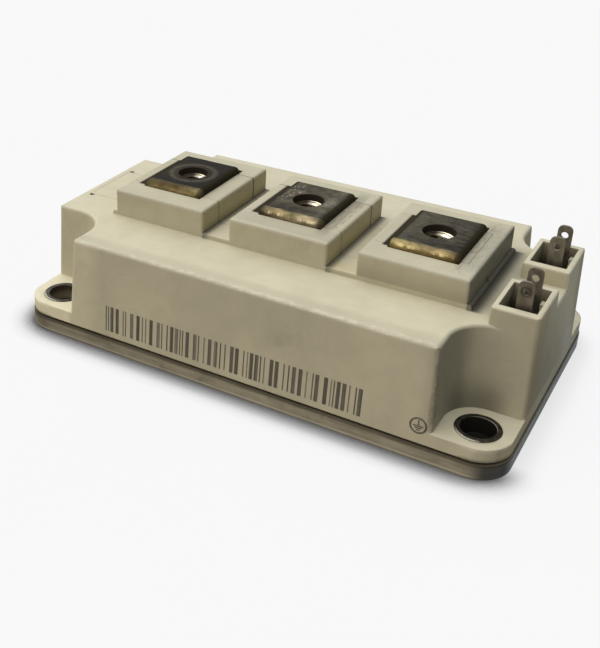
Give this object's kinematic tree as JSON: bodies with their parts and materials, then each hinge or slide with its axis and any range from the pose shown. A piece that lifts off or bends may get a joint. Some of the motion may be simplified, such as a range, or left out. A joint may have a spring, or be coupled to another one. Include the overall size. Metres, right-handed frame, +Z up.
{
  "type": "igbt module",
  "caption": "Flat power switch module: cream housing on a metal plate, folded screw terminals on top, push-on signal tabs in wells at one end.",
  "frame": {"origin": "centre of the baseplate's underside, midway between the four mounting holes", "axes": "+X along the row of terminals towards the signal tabs, +Y to the rear, +Z up out of the baseplate"},
  "size_m": [0.1064, 0.0614, 0.0316],
  "materials": {
    "plate_metal": "nickel plated copper, dull and slightly brown",
    "seal": "cured adhesive, dull",
    "housing_plastic": "cream moulded plastic, matt, edges worn light",
    "carrier_plastic": "cream moulded plastic, matt",
    "strap_metal": "tarnished plated copper, bright on the fold",
    "nut_metal": "plated steel, bright thread",
    "sleeve_metal": "plated steel, rim polished by screws",
    "tab_metal": "tarnished tin plate",
    "copper": "bare copper",
    "ceramic": "fired white ceramic",
    "silicon": "polished silicon",
    "wire_metal": "drawn aluminium",
    "gel": "clear soft gel"
  },
  "bodies": {
    "root": {"baseplate": "plate_metal", "adhesive_seal": "seal", "housing": "housing_plastic", "nut_carrier": "carrier_plastic", "terminal_left": "strap_metal", "terminal_middle": "strap_metal", "terminal_right": "strap_metal", "nut_left": "nut_metal", "nut_middle": "nut_metal", "nut_right": "nut_metal", "sleeve_front_left": "sleeve_metal", "sleeve_front_right": "sleeve_metal", "sleeve_rear_left": "sleeve_metal", "sleeve_rear_right": "sleeve_metal", "signal_tab_front_outer": "tab_metal", "signal_tab_front_inner": "tab_metal", "signal_tab_rear_inner": "tab_metal", "signal_tab_rear_outer": "tab_metal", "copper_back_left": "copper", "copper_back_right": "copper", "ceramic_tile_left": "ceramic", "ceramic_tile_right": "ceramic", "copper_tracks_left": "copper", "copper_tracks_right": "copper", "switch_chip_left_rear": "silicon", "switch_chip_left_mid": "silicon", "switch_chip_right_rear": "silicon", "switch_chip_right_mid": "silicon", "diode_chip_left_inner": "silicon", "diode_chip_left_outer": "silicon", "diode_chip_right_inner": "silicon", "diode_chip_right_outer": "silicon", "bond_wires_left": "wire_metal", "bond_wires_right": "wire_metal", "silicone_gel": "gel"}
  },
  "joints": []
}
